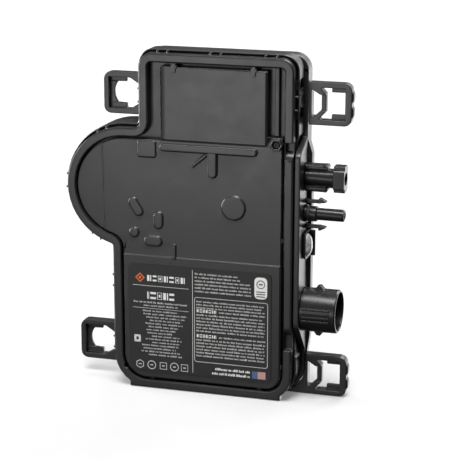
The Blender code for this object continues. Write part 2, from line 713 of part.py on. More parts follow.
def ear_windows(side):
    """Openings of an ear, drawn with its outer end at X = 0 and its middle at Z = 0, body to the left."""
    if side < 0:
        return [[(-3.3, -9.6), (-3.3, 9.6), (-17.0, 9.6), (-24.0, 5.2), (-24.0, -5.2), (-16.5, -9.6)]]
    window = [(-4.1, -9.6), (-4.1, 9.6), (-17.6, 9.6), (-18.4, 8.8), (-15.7, 6.1), (-15.7, -4.9)]
    window += [(-19.6, -8.8), (-18.8, -9.6)]
    gap = [(-24.2, -7.6), (-22.6, -7.6), (-18.7, -3.7), (-18.7, 5.0), (-24.2, 8.4)]
    return [window, gap]


def add_ear_bump(shape, place, z):
    """Low rounded bump on the outer end of an ear."""
    points = [
        (-0.4, z - 3.0), (0.2, z - 3.0), (1.0, z - 1.8), (1.0, z + 1.8), (0.2, z + 3.0),
        (-0.4, z + 3.0),
    ]
    add_prism(shape, place(points), EAR_FRONT_Y + 0.8, EAR_BACK_Y - 0.8)


def make_ear(name, outer_x, low_z, side, body_x):
    """Box-shaped ear with a rounded outer end, windows and fingers, cut to the case's outline."""
    half = EAR_HEIGHT / 2
    reach = abs(outer_x)
    radius = EAR_RADIUS

    def place(points):
        return [((reach + x) * side, low_z + half + z) for x, z in points]

    inner = side * body_x - reach
    outline = [(inner, -half)]
    outline += arc(-radius, radius - half, radius, -90.0, 0.0, 22.5)
    outline += arc(-radius, half - radius, radius, 0.0, 90.0, 22.5)
    outline.append((inner, half))
    windows = [place(points) for points in ear_windows(side)]
    ear = make_object(name, prism(place(outline), EAR_FRONT_Y, EAR_BACK_Y, holes=windows), "case_plastic")
    wall = -ear_windows(side)[0][0][0]
    added = bmesh.new()
    length = EAR_FINGER + (1.7 if side < 0 else 0.0)
    for z in (-9.6, 6.9):
        points = [
            (-wall - length, z - 0.3), (-wall + 0.4, z - 0.3), (-wall + 0.4, z + 3.0),
            (-wall - length, z + 3.0),
        ]
        add_prism(added, place(points), EAR_BACK_Y - 2.8, EAR_BACK_Y - 0.4)
    if side > 0:
        for z in (-4.6, 4.6):
            add_ear_bump(added, place, z)
    add_boolean(ear, added, "UNION")
    if side < 0:
        curve = arc(-wall - 12.6, 0.0, 10.2, -52.0, 52.0, 13.0)
        points = [(-wall + 0.4, curve[0][1] - 1.0), *curve, (-wall + 0.4, curve[-1][1] + 1.0)]
        add_boolean(ear, prism(place(points), EAR_BACK_Y - 2.7, EAR_BACK_Y - 0.5), "UNION")
    cuts = bmesh.new()
    rear_right = rear_right_edge(GAP)
    around = case_outline(FLANGE + GAP, right_edge=rear_right, top_z=TOP_Z + 1.0)
    add_prism(cuts, around, EAR_FRONT_Y - 1.0, EAR_BACK_Y + 1.0)
    add_boolean(ear, cuts, "DIFFERENCE")
    if side > 0:
        bar = [(-19.4, -4.4), (-15.0, -4.4), (-15.0, 5.4), (-19.4, 5.4)]
        add_boolean(ear, prism(place(bar), EAR_FRONT_Y - 1.0, EAR_FRONT_Y + 2.1), "DIFFERENCE")
    smooth(ear)


# ---------------------------------------------------------------- connectors


def make_dc_socket():
    """Socket-type DC connector: a barrel between two flanges, with a lugged head and a round mouth."""
    base = REAR_RIGHT_X + GAP
    z = SOCKET_Z
    y = SOCKET_Y
    end = SOCKET_END_X
    spine = rounded_box_outline(y - 3.2, z - 5.6, y + 3.2, z + 5.6, 1.4, 45.0)
    body = make_object("dc_socket_body", prism(spine, base, end - 2.0, "X"), "connector_plastic")
    barrel_shape = [
        (base + 0.05, 0.0), (base + 0.05, 5.0), (end - 0.6, 5.0), (end - 0.05, 4.5), (end - 0.05, 0.0),
    ]
    barrel = turned(barrel_shape, (0.0, y, z), steps=20)
    add_boolean(body, barrel, "UNION")
    flanges = bmesh.new()
    half_head = [
        (-5.4, -5.2), (-4.8, -5.8), (-2.9, -5.8), (-2.9, -7.6), (-2.3, -8.1), (3.4, -8.1),
        (5.4, -6.4),
    ]
    head = [(y + across, z + rise) for across, rise in half_head]
    head += [(y + across, z - rise) for across, rise in reversed(half_head)]
    add_prism(flanges, head, end - 6.8, end, "X")
    for low, high in ((z + 4.6, z + 8.1), (z - 8.1, z - 4.6)):
        outline = rounded_box_outline(y - 3.9, low, y + 4.8, high, 1.2, 45.0)
        add_prism(flanges, outline, base + 0.02, base + 12.8, "X")
    add_boolean(body, flanges, "UNION")
    knuckles = bmesh.new()
    for side in (-1, 1):
        place = (base + 12.4, z + side * 6.5)
        add_rod(knuckles, place, 1.6, y - 3.6, y + 4.4, "Y", 12)
    add_boolean(body, knuckles, "UNION")
    bore = [
        (base - 1.0, 0.0), (base - 1.0, 1.6), (66.0, 1.6), (66.0, 3.8), (end + 1.0, 3.8),
        (end + 1.0, 0.0),
    ]
    add_boolean(body, turned(bore, (0.0, y, z)), "DIFFERENCE")
    smooth(body)
    contact = [(TERMINAL_X, 0.0), (TERMINAL_X, 1.2), (66.5, 1.2), (66.5, 2.7), (77.6, 2.7), (77.6, 1.8)]
    contact += [(69.0, 1.8), (69.0, 0.0)]
    item = make_object("dc_socket_contact", turned(contact, (0.0, y, z), steps=12), "plated_contact")
    smooth(item)


def make_dc_plug():
    """Pin-type DC connector: a collar and a slim tube round its pin, with a rubber ring at its foot."""
    base = REAR_RIGHT_X + GAP
    centre = (0.0, PLUG_Y, PLUG_Z)
    end = PLUG_END_X
    profile = [(base, 1.6), (base, 5.3), (base + 1.2, 5.3), (base + 1.2, 3.9), (base + 3.2, 3.9)]
    profile += [(base + 3.2, 4.65), (67.0, 4.65), (67.8, 4.1), (67.8, 3.7), (end - 1.0, 3.7), (end, 3.2)]
    profile += [(end, 2.2), (69.0, 2.2), (69.0, 1.6)]
    body = make_object("dc_plug_body", turned(profile, centre), "connector_plastic")
    smooth(body)
    low = base + 1.2 + 0.15
    high = base + 3.2 - 0.15
    ring = [(low, 4.2), (high, 4.2), (high, 4.7), ((low + high) / 2, 5.0), (low, 4.7)]
    seal = make_object("dc_plug_seal", turned(ring, centre), "seal_rubber")
    smooth(seal)
    pin = [(TERMINAL_X, 0.0), (TERMINAL_X, 1.2), (81.0, 1.2), (82.0, 0.5), (82.0, 0.0)]
    contact = make_object("dc_plug_contact", turned(pin, centre, steps=12), "plated_contact")
    smooth(contact)


def make_latch_arm(name, side):
    """Flexible latch arm beside the plug; its origin is on the axis it bends about."""
    pivot_x = REAR_RIGHT_X + GAP
    z = PLUG_Z + side * LATCH_RISE
    outline = [(0.0, -1.2), (1.4, -0.8), (8.2, -0.7), (8.2, -0.9), (12.8, -0.1), (12.8, 0.3)]
    outline += [(9.4, 2.0), (8.2, 2.0), (8.2, 0.7), (1.4, 0.8), (0.0, 1.4)]
    points = [(pivot_x + x, z + side * rise) for x, rise in outline]
    arm = make_object(name, prism(points, PLUG_Y - 2.2, PLUG_Y + 2.2), "connector_plastic")
    pivot = Vector((pivot_x + ORIGIN_X, PLUG_Y, z)) * MM
    arm.data.transform(Matrix.Translation(-pivot))
    arm.location = pivot


def make_ac_connector():
    """Round AC connector: an open cup with its insert, pins and sealing ring."""
    base = REAR_RIGHT_X + GAP
    centre = (0.0, AC_Y, AC_Z)
    end = AC_END_X
    profile = [
        (base, 7.6), (base, AC_RADIUS), (end - 0.8, AC_RADIUS), (end, 12.9), (end, 12.0),
        (end - 0.8, 11.6),
    ]
    profile += [(66.0, 11.6), (66.0, 7.6)]
    shell = make_object("ac_connector_shell", turned(profile, centre, steps=40), "connector_plastic")
    added = bmesh.new()
    for side in (-1, 1):
        bump = [(66.6, 13.0), (68.4, 15.4), (70.6, 15.8), (73.0, 13.0)]
        points = [(x, AC_Z + side * rise) for x, rise in bump]
        add_prism(added, points, AC_Y - 2.4, AC_Y + 2.4)
    for rise in (-3.6, -1.2, 1.2, 3.6):
        add_box(added, (base + 1.0, AC_Y - 13.9, AC_Z + rise - 0.6), (end - 3.6, AC_Y - 12.0, AC_Z + rise + 0.6))
    add_boolean(shell, added, "UNION")
    smooth(shell)
    body = make_object("ac_connector_insert", prism_with_bores(base, 74.0), "bobbin_plastic")
    smooth(body)
    ring = [(66.3, 7.7), (66.3, 11.2), (68.0, 11.2), (68.6, 10.4), (68.0, 9.6), (68.0, 7.7)]
    seal = make_object("ac_sealing_ring", turned(ring, centre, steps=32), "seal_rubber")
    smooth(seal)
    for turn, wire in zip((-1, 0, 1), ("line_1", "neutral", "line_2")):
        outline = circle_outline(AC_Y, AC_Z + turn * AC_PIN_PITCH, 1.0, 30.0)
        pin = make_object(f"ac_pin_{wire}", prism(outline, TERMINAL_X, 75.6, "X"), "plated_contact")
        smooth(pin)


def prism_with_bores(low, high):
    """Round insert with one bore for each AC pin."""
    outline = circle_outline(AC_Y, AC_Z, 7.3, 15.0)
    bores = [circle_outline(AC_Y, AC_Z + turn * AC_PIN_PITCH, 1.3, 30.0) for turn in (-1, 0, 1)]
    return prism(outline, low, high, "X", bores)


def make_status_light():
    """Domed oval status lens in its black bracket on the connector block."""
    base = REAR_RIGHT_X + GAP
    lens_y = LENS_Y - 0.9
    outer = rounded_box_outline(LENS_Y - 6.0, LENS_Z - 8.2, LENS_Y + 6.0, LENS_Z + 8.2, 2.0, 45.0)
    inner = slot_outline(lens_y, LENS_Z, 14.8, 9.8, 90.0, 30.0)
    plate = prism(outer, base, base + 1.6, "X", [inner])
    bracket = make_object("status_light_bracket", plate, "connector_plastic")
    guard = rounded_box_outline(LENS_Y + 4.3, LENS_Z - 8.0, LENS_Y + 5.9, LENS_Z + 8.0, 0.6, 45.0)
    add_boolean(bracket, prism(guard, base + 0.8, base + 5.0, "X"), "UNION")
    shape = bmesh.new()
    loops = []
    for rise, scale in ((0.0, 1.0), (1.9, 1.0), (3.3, 0.84), (4.1, 0.6), (4.5, 0.3)):
        outline = slot_outline(lens_y, LENS_Z, 14.0 * scale, 9.0 * scale, 90.0, 30.0)
        loops.append(add_loop(shape, outline, base + rise, "X")[0])
    shape.faces.new(loops[0])
    for first, second in zip(loops, loops[1:]):
        add_wall(shape, first, second)
    shape.faces.new(loops[-1])
    lens = make_object("status_light_lens", shape, "clear_lens")
    smooth(lens)


# ---------------------------------------------------------------- inside


def board_outline():
    return case_outline(-RIM_WIDTH + 1.0)


def make_circuit_board():
    holes = [circle_outline(*place, 1.4, 45.0) for place in BOARD_POSTS]
    holes.append(circle_outline(BULGE_X, BULGE_Z, CORE_RADIUS + 0.6))
    shape = prism(board_outline(), Y_BOARD_FRONT, Y_BOARD_BACK, holes=holes)
    make_object("circuit_board", shape, "circuit_board")
    face = Y_BOARD_FRONT - 0.1
    head = [
        (face - 1.9, 0.0), (face - 1.9, 2.0), (face, 2.6), (face, 1.1), (Y_BOARD_BACK, 1.1),
        (Y_BOARD_BACK, 0.0),
    ]
    for number, (x, z) in enumerate(BOARD_POSTS, 1):
        make_object(f"board_screw_{number}", turned(head, (x, 0.0, z), "Y", 10), "steel")


def make_transformer():
    """Pot-core transformer in the round bulge: two ferrite halves, a bobbin and two windings."""
    centre = (BULGE_X, 0.0, BULGE_Z)
    front = -10.2
    middle = -2.0
    back = 6.0
    radius = CORE_RADIUS
    for name, outside, split in (("core_front", front, middle - 0.15), ("core_rear", back, middle + 0.15)):
        turn = 1.0 if outside < split else -1.0
        inside = outside + turn * 2.6
        profile = [(outside, 0.0), (outside, radius), (split, radius), (split, radius - 3.4)]
        profile += [(inside, radius - 3.4), (inside, 8.0), (split, 8.0), (split, 0.0)]
        core = make_object(f"transformer_{name}", turned(profile, centre, "Y", 32), "ferrite")
        smooth(core)
    low = front + 2.9
    high = back - 2.9
    bobbin = [
        (low, 8.4), (high, 8.4), (high, 20.2), (high - 0.9, 20.2), (high - 0.9, 9.3),
        (low + 0.9, 9.3),
    ]
    bobbin += [(low + 0.9, 20.2), (low, 20.2)]
    make_object("transformer_bobbin", turned(bobbin, centre, "Y", 24), "bobbin_plastic")
    split = 14.0
    for name, inner, outer in (("primary", 9.6, split), ("secondary", split + 0.3, 19.9)):
        ring = [(low + 1.2, inner), (high - 1.2, inner), (high - 1.2, outer), (low + 1.2, outer)]
        make_object(f"transformer_{name}_winding", turned(ring, centre, "Y", 24), "copper")


def make_choke(name, x, z, radius):
    """Toroidal choke lying flat on the board: a ring core under its winding."""
    centre = (x, 0.0, z)
    back = Y_BOARD_FRONT - GAP
    front = back - 7.0
    bore = radius * 0.42
    wrap = 1.2
    shell = [(back, bore), (front, bore), (front, radius), (back, radius), (back, radius - wrap)]
    shell += [(front + wrap, radius - wrap), (front + wrap, bore + wrap), (back, bore + wrap)]
    make_object(f"{name}_winding", turned(shell, centre, "Y", 24), "copper")
    near = front + wrap + GAP
    low = bore + wrap + GAP
    high = radius - wrap - GAP
    core = [(near, low), (near, high), (back, high), (back, low)]
    make_object(f"{name}_core", turned(core, centre, "Y", 24), "ferrite")


def make_block(name, material, place, size, low_y, high_y):
    """Rectangular part centred on (x, z) with the size (width, height)."""
    shape = bmesh.new()
    low = (place[0] - size[0] / 2, low_y, place[1] - size[1] / 2)
    high = (place[0] + size[0] / 2, high_y, place[1] + size[1] / 2)
    add_box(shape, low, high)
    make_object(name, shape, material)


def make_board_parts():
    back = Y_BOARD_FRONT - GAP
    make_choke("dc_input_choke", 28.0, 132.0, 11.0)
    make_choke("ac_output_choke", 26.0, 62.0, 12.5)
    for number, x in enumerate((-28.0, -10.0), 1):
        make_block(f"film_capacitor_{number}", "capacitor_plastic", (x, 34.0), (14.0, 20.0), -10.0, back)
    for number, x in enumerate((-8.0, 10.0), 1):
        make_block(f"input_capacitor_{number}", "capacitor_plastic", (x, 182.0), (14.0, 18.0), -10.0, back)
    for number, x in enumerate((12.0, 28.0), 1):
        make_block(f"grid_relay_{number}", "chip_plastic", (x, 34.0), (12.0, 20.0), -10.0, back)
    make_block("controller_chip", "chip_plastic", (-4.0, 108.0), (14.0, 14.0), -4.4, back)
    make_block("output_fuse", "bobbin_plastic", (-4.0, 88.0), (18.0, 5.0), -8.2, back)
    varistor = prism(circle_outline(-4.0, 66.0, 6.0), -8.0, back)
    smooth(make_object("surge_varistor", varistor, "varistor_coat"))
    for side, z in (("dc", 150.0), ("ac", 60.0)):
        for number, x in enumerate((-12.0, 24.0), 1):
            name = f"{side}_power_transistor_{number}"
            make_block(name, "chip_plastic", (x, z), (16.0, 11.0), Y_BOARD_BACK + GAP, Y_CHIP_BACK)
        make_block(f"{side}_thermal_pad", "thermal_pad", (6.0, z), (60.0, 14.0), Y_CHIP_BACK + GAP, Y_PAD_BACK)


def make_heat_spreader():
    holes = [circle_outline(*place, 3.4, 22.5) for place in BOARD_POSTS]
    holes.append(circle_outline(BULGE_X, BULGE_Z, CORE_RADIUS + 0.6))
    plate = prism(board_outline(), Y_PAD_BACK + GAP, Y_SPREADER_BACK, holes=holes)
    make_object("heat_spreader", plate, "aluminium")
    filling = prism(board_outline(), Y_SPREADER_BACK + GAP, Y_REAR_INSIDE - GAP, holes=holes[:-1])
    make_object("potting_compound", filling, "potting")


def make_label():
    outline = rounded_box_outline(*LABEL_BOX, LABEL_RADIUS)
    make_object("rating_label", prism(outline, Y_LABEL_TOP, Y_LABEL_ZONE - GAP), "label_film")


def make_cover_screw():
    """Hexagon-socket screw at the bottom of the boss beside the right-hand channel."""
    face = Y_COVER - 0.9
    socket = Y_COVER - 0.1
    head = [(face, 0.9), (face, 1.7), (face + 0.2, 1.9), (Y_COVER + 0.7, 1.9), (Y_COVER + 0.7, 0.0)]
    head += [(socket, 0.0), (socket, 0.9)]
    x, z = SCREW_PLACE
    make_object("cover_screw", turned(head, (x, 0.0, z), "Y", 12), "black_steel")


def main():
    clear_scene()
    for name, (colour, roughness, metallic) in COLOURS.items():
        make_material(name, colour, roughness, metallic)
    make_front_frame()
    make_front_cover()
    make_cover_screw()
    make_middle_housing()
    make_housing_seal()
    make_rear_housing()
    for name, place in EARS.items():
        make_ear(name, *place)
    make_label()
    make_dc_socket()
    make_dc_plug()
    make_latch_arm("dc_latch_arm_upper", 1)
    make_latch_arm("dc_latch_arm_lower", -1)
    make_ac_connector()
    make_status_light()
    make_circuit_board()
    make_transformer()
    make_board_parts()
    make_heat_spreader()


main()
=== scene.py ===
"""Looks of the micro inverter: bevelled case, printed label, plate hooks, materials, light and camera."""

import json
import math
import random

import bmesh
import bpy
from mathutils import Matrix, Vector


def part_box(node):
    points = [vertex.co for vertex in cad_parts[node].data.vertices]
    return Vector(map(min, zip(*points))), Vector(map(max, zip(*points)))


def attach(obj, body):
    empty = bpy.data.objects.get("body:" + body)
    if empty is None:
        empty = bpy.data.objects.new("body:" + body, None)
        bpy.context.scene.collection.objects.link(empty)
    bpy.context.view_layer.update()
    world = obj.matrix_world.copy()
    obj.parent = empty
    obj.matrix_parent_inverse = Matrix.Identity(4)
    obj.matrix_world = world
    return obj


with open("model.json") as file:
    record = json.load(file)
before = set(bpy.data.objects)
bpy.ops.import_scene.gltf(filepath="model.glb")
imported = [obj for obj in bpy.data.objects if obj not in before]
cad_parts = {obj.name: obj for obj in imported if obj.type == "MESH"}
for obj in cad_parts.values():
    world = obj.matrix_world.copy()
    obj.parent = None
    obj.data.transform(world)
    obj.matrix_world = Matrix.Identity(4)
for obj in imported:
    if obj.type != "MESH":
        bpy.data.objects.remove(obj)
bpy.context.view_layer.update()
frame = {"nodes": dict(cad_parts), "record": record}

MM = 0.001
NODES = frame["nodes"]

# Camera, in metres and degrees.
CAMERA_AZIMUTH = 16.2
CAMERA_ELEVATION = 15.16
CAMERA_ROLL = 0.18
CAMERA_DISTANCE = 0.98254
CAMERA_AIM = Vector((0.018625, 0.0, 0.098037))
CAMERA_REACH = 50.0
CAMERA_SENSOR = 36.0  # millimetres
CAMERA_LENS = 122.9  # millimetres

# Painted shade: the base colour is darkened on enclosed surfaces.
CREVICE_REACH = 6.0  # millimetres
CREVICE_RANGE = (0.25, 0.62)  # openness where the surface is darkest, and where it keeps its colour
PAINTED_SHADE_DARKEST = 0.1
CREVICE_SAMPLES = 8

# Rounded edges of the moulded parts; the widths are in millimetres.
WELD_DISTANCE = 0.003
EDGE_SEGMENTS = 3
EDGE_ANGLE = 28.0
HOOK_EDGE = 0.25
EDGE_WIDTHS = {
    "front_frame": 0.45,
    "front_cover": 0.42,
    "middle_housing": 0.6,
    "rear_housing": 0.7,
    "ear_upper_right": 0.45,
    "ear_lower_right": 0.45,
    "ear_upper_left": 0.45,
    "ear_lower_left": 0.45,
    "dc_socket_body": 0.3,
    "ac_connector_shell": 0.2,
    "dc_plug_body": 0.2,
    "dc_latch_arm_upper": 0.15,
    "dc_latch_arm_lower": 0.15,
    "status_light_bracket": 0.3,
    "status_light_lens": 0.1,
    "cover_screw": 0.12,
    "rating_label": 0.03,
}

# Ink on the label, in millimetres.
LABEL_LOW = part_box("rating_label")[0]
INK_GAP = 0.005
INK_DEPTH = 0.04
PATCH_MARKS_LIFT = 0.05
CORNER_STEPS = 4
TEXT_SEED = 7

# Rows of unreadable marks: widths in millimetres, heights as parts of the row's height.
TICK_WIDTHS = (0.22, 0.50)
BOLD_TICK_WIDTHS = (0.4, 0.8)
TICK_GAPS = (0.20, 0.36)
WORD_GAPS = (0.7, 1.1)
TICK_RISES = (0.72, 0.72, 0.78, 1.0)

# Label layout, in millimetres from the label's low left corner.
HEADINGS = (  # start, end, foot, height, block widths and gap
    (12.4, 36.6, 57.8, 3.8, (2.4, 2.2, 2.5, 2.3, 2.6, 2.2, 2.3), 0.95),
    (12.4, 29.8, 46.4, 4.5, (1.0, 3.0, 2.6, 2.6, 2.6), 0.8),
)
RULES = ((3.0, 54.6, 36.0, 0.28), (3.0, 40.2, 36.0, 0.22), (41.4, 1.2, 0.3, 66.0))
SUBTITLE_ROWS = ((3.6, 38.6, 43.6, 1.15), (10.0, 32.0, 41.6, 1.0))
SPECIFICATION_ROWS = 15
SPECIFICATION_CENTRE = 21.0
SPECIFICATION_HALF_LENGTHS = (8.0, 15.5)
SPECIFICATION_SHIFTS = (-1.0, 3.5)
SPECIFICATION_SIDES = (3.2, 39.4)
SPECIFICATION_TOP = 38.2
SPECIFICATION_PITCH = 2.02
SPECIFICATION_HEIGHT = 0.95
NOTE_ROWS = 6
NOTE_LEFT = 43.0
NOTE_RIGHT = 78.5
NOTE_FIRST_ROWS_RIGHT = 76.0
NOTE_RAGGED = 6.0
NOTE_TOP = 64.4
NOTE_PITCH = 2.2
NOTE_HEIGHT = 1.1
TEXT_BOX = (42.6, 8.6, 46.6, 41.6, 1.6)
TEXT_BOX_LINE = 0.32
BOX_LEFT = 44.0
BOX_RIGHT = 87.6
BOX_ROWS = 3
BOX_RAGGED = 3.0
BOX_TOP = 47.0
BOX_PITCH = 1.95
BOX_HEIGHT = 1.0
TITLES_Z = (40.6, 24.6)
TITLE_SIDES = (44.2, 56.6)
TITLE_HEIGHT = 2.0
TITLE_BLOCKS = (1.4, 1.3, 1.4, 1.3, 1.4, 0.7, 1.3)
TITLE_GAP = 0.5
AFTER_TITLE_LEFT = 58.4
AFTER_TITLE_RISE = 0.4
AFTER_TITLE_HEIGHT = 1.05
PARAGRAPH_ROWS = 6
PARAGRAPH_RIGHT = 87.8
PARAGRAPH_RAGGED = 2.5
PARAGRAPH_DROP = 2.1
PARAGRAPH_PITCH = 2.05
PARAGRAPH_HEIGHT = 1.1
BOTTOM_ROWS = ((56.0, 78.0, 4.4, 1.5), (54.0, 78.0, 1.5, 1.5))
OUTLINE_SHAPES = (  # middle, number of sides, turn in degrees and radius
    (7.2, 6, 30.0, 2.8),
    (14.8, 16, 0.0, 2.8),
    (22.4, 4, 45.0, 3.2),
    (29.6, 16, 0.0, 2.8),
    (36.2, 4, 45.0, 3.2),
)
OUTLINE_SHAPE_Z = 3.6
OUTLINE_SHAPE_LINE = 0.42
FRAMED_SQUARE = (3.6, 18.0, 4.2, 4.6, 0.4)
FRAMED_SQUARE_LINE = 1.3
PATCH = (80.6, 52.4, 8.0, 13.6, 2.6)
PATCH_RING = (84.6, 61.6, 2.7)
PATCH_RING_SIDES = 20
PATCH_RING_LINE = 0.5
PATCH_RING_BAR = (83.4, 61.2, 2.4, 0.8)
PATCH_BARS = ((81.8, 56.6, 5.6, 0.6), (81.8, 55.1, 5.6, 0.6), (81.8, 53.6, 5.6, 0.6))
DIAMOND = (7.8, 59.7, 3.1)
DIAMOND_LINE = 0.95
DIAMOND_CORE = (7.0, 58.9, 1.6, 1.6, 0.3)
BLUE_TAB = (79.4, 1.4, 3.2, 4.6)
ROSE_TAB = (82.9, 1.4, 5.0, 4.6)

# Hooks over the plate's top edge, in metres; the boxes are in millimetres.
PLATE_TOP = 0.210 - 0.0076
PLATE_SETBACK = 0.0017
HOOKS_X = (-0.01665, 0.03235)
HOOK_BOXES = (  # half width, front, back, foot and top, from the plate's top edge
    (1.1, -0.9, 0.3, -3.4, 2.2),
    (1.9, -0.7, 0.3, -0.9, 0.9),
)

# Floor, in metres.
FLOOR_PROFILE = ((0.5, 0.0), (4.0, 0.0), (11.0, 0.0), (13.0, 0.8), (14.0, 3.0), (14.0, 9.0))
FLOOR_SIDES = 64
FLOOR_DROP = 0.0002
FLOOR_WHITE = 0.32
FLOOR_GLOW = 0.18

# Lights.
WHITE = (1.0, 1.0, 1.0, 1.0)
SKY_BASE = 0.07
SKY_OVERHEAD = 0.7
SKY_CEILING = (0.55, 0.95)  # upward part of the direction where the ceiling starts and is full
SKY_PANELS = {  # direction, dot products where the panel fades out and is full, and strength
    "front": ((-0.27, -0.93, -0.26), 0.55, 0.90, 0.20),
    "rear": ((0.27, 0.93, -0.26), 0.80, 0.98, 2.3),
}
SUNS = {  # direction towards the light, apparent diameter in degrees and strength
    "overhead_softbox": ((0.04, -0.28, 0.88), 30.0, 5.4),
    "left_softbox": ((-0.92, 0.10, 0.12), 44.0, 10.5),
    "rear_softbox": ((0.20, 0.70, 0.66), 34.0, 2.6),
}
FACE_LIGHT_PLACE = (-0.24, -0.85, 0.10)
FACE_LIGHT_AIM = (0.0, 0.0, 0.14)
FACE_LIGHT_SIZE = 0.36
FACE_LIGHT_POWER = 1.45


# ---------------------------------------------------------------- materials


def map_range(nodes, links, value, low, high, at_low, at_high):
    """Number that goes from at_low to at_high as value goes from low to high."""
    node = nodes.new("ShaderNodeMapRange")
    for socket, number in zip(node.inputs[1:5], (low, high, at_low, at_high)):
        socket.default_value = number
    links.new(value, node.inputs["Value"])
    return node.outputs["Result"]


class Shader:
    """A material's node tree with the few node patterns that the materials below share."""

    def __init__(self, name, colour, roughness, metallic=0.0, specular=0.5):
        self.material = bpy.data.materials.new(name)
        self.material.use_nodes = True
        self.material.diffuse_color = (*colour, 1.0)
        self.nodes = self.material.node_tree.nodes
        self.links = self.material.node_tree.links
        self.bsdf = self.nodes["Principled BSDF"]
        self.bsdf.inputs["Base Color"].default_value = (*colour, 1.0)
        self.bsdf.inputs["Roughness"].default_value = roughness
        self.bsdf.inputs["Metallic"].default_value = metallic
        self.bsdf.inputs["Specular IOR Level"].default_value = specular
        self.place = self.nodes.new("ShaderNodeTexCoord").outputs["Object"]

    def noise(self, size_mm, detail=3.0, stretch=(1.0, 1.0, 1.0)):
        """Noise whose blobs are about size_mm across."""
        mapping = self.nodes.new("ShaderNodeMapping")
        mapping.inputs["Scale"].default_value = stretch
        texture = self.nodes.new("ShaderNodeTexNoise")
        texture.inputs["Scale"].default_value = 1.0 / (size_mm * MM)
        texture.inputs["Detail"].default_value = detail
        self.links.new(self.place, mapping.inputs["Vector"])
        self.links.new(mapping.outputs["Vector"], texture.inputs["Vector"])
        return texture.outputs["Fac"]

    def vary_colour(self, value, dark, light, low=0.3, high=0.7):
        """Base colour between dark and light as value goes from low to high."""
        ramp = self.nodes.new("ShaderNodeValToRGB")
        ramp.color_ramp.elements[0].position = low
        ramp.color_ramp.elements[1].position = high
        ramp.color_ramp.elements[0].color = (*dark, 1.0)
        ramp.color_ramp.elements[1].color = (*light, 1.0)
        self.links.new(value, ramp.inputs["Fac"])
        self.links.new(ramp.outputs["Color"], self.bsdf.inputs["Base Color"])

    def vary_roughness(self, value, low, high):
        """Roughness between low and high over the middle of the value's range."""
        roughness = map_range(self.nodes, self.links, value, 0.3, 0.7, low, high)
        self.links.new(roughness, self.bsdf.inputs["Roughness"])

    def bump(self, value, height_mm, strength):
        """Relief of the given height."""
        node = self.nodes.new("ShaderNodeBump")
        node.inputs["Distance"].default_value = height_mm * MM
        node.inputs["Strength"].default_value = strength
        self.links.new(value, node.inputs["Height"])
        self.links.new(node.outputs["Normal"], self.bsdf.inputs["Normal"])


def paint_crevice_shade(shader):
    """Painted shade: multiply the base colour down where the surface is enclosed."""
    occlusion = shader.nodes.new("ShaderNodeAmbientOcclusion")
    occlusion.samples = CREVICE_SAMPLES
    occlusion.inputs["Distance"].default_value = CREVICE_REACH * MM
    openness = occlusion.outputs["AO"]
    shade = map_range(shader.nodes, shader.links, openness, *CREVICE_RANGE, PAINTED_SHADE_DARKEST, 1.0)
    mix = shader.nodes.new("ShaderNodeMix")
    mix.data_type = "RGBA"
    mix.blend_type = "MULTIPLY"
    mix.inputs["Factor"].default_value = 1.0
    source = shader.bsdf.inputs["Base Color"].links[0].from_socket
    shader.links.new(source, mix.inputs["A"])
    shader.links.new(shade, mix.inputs["B"])
    shader.links.new(mix.outputs["Result"], shader.bsdf.inputs["Base Color"])


def tint(colour, factor):
    """Colour made lighter or darker by a factor."""
    return tuple(c * factor for c in colour)


def moulded_plastic(name, colour, roughness, grain_mm, grain_height, specular=0.5):
    """Textured moulded plastic: fine grain, faint flow clouds, slightly uneven gloss and painted shade in
    crevices.
    """
    shader = Shader(name, colour, roughness, specular=specular)
    clouds = shader.noise(26.0, 4.0, (1.0, 1.0, 0.45))
    shader.vary_colour(clouds, tint(colour, 0.93), tint(colour, 1.07))
    shader.vary_roughness(shader.noise(9.0, 5.0), roughness - 0.02, roughness + 0.03)
    shader.bump(shader.noise(grain_mm, 2.0), grain_height, 0.6)
    # Painted shade: the base colour is darkened in crevices and channels.
    paint_crevice_shade(shader)
    return shader.material


def sheet_metal(name, colour, roughness):
    """Metal with faint drawn streaks."""
    shader = Shader(name, colour, roughness, metallic=1.0)
    streaks = shader.noise(1.2, 3.0, (1.0, 1.0, 0.08))
    shader.vary_colour(streaks, tint(colour, 0.82), tint(colour, 1.08))
    shader.vary_roughness(streaks, roughness - 0.08, roughness + 0.12)
    shader.bump(streaks, 0.01, 0.5)
    return shader.material


def soft_rubber(name, colour):
    """Matt rubber with a pale bloom."""
    shader = Shader(name, colour, 0.72, specular=0.35)
    bloom = shader.noise(3.0, 4.0)
    shader.vary_colour(bloom, tint(colour, 0.8), tint(colour, 1.5))
    shader.vary_roughness(bloom, 0.64, 0.8)
    shader.bump(shader.noise(0.25, 2.0), 0.015, 0.5)
    return shader.material


def winding_wire(name, colour):
    """Enamelled wire: fine turns that run round the winding."""
    shader = Shader(name, colour, 0.32, metallic=1.0)
    turns = shader.nodes.new("ShaderNodeTexWave")
    turns.wave_type = "BANDS"
    turns.bands_direction = "Y"
    turns.inputs["Scale"].default_value = 420.0
    turns.inputs["Distortion"].default_value = 0.6
    shader.links.new(shader.place, turns.inputs["Vector"])
    shader.vary_colour(turns.outputs["Fac"], tint(colour, 0.45), colour, 0.1, 0.8)
    shader.bump(turns.outputs["Fac"], 0.12, 0.8)
    return shader.material


def printed_ink(name, colour, roughness=0.42):
    """Ink or toner on the label: almost even, with a slightly mottled coverage."""
    shader = Shader(name, colour, roughness, specular=0.4)
    mottle = shader.noise(0.5, 3.0)
    shader.vary_colour(mottle, tint(colour, 0.86), colour, 0.35, 0.6)
    shader.vary_roughness(mottle, roughness - 0.05, roughness + 0.08)
    return shader.material


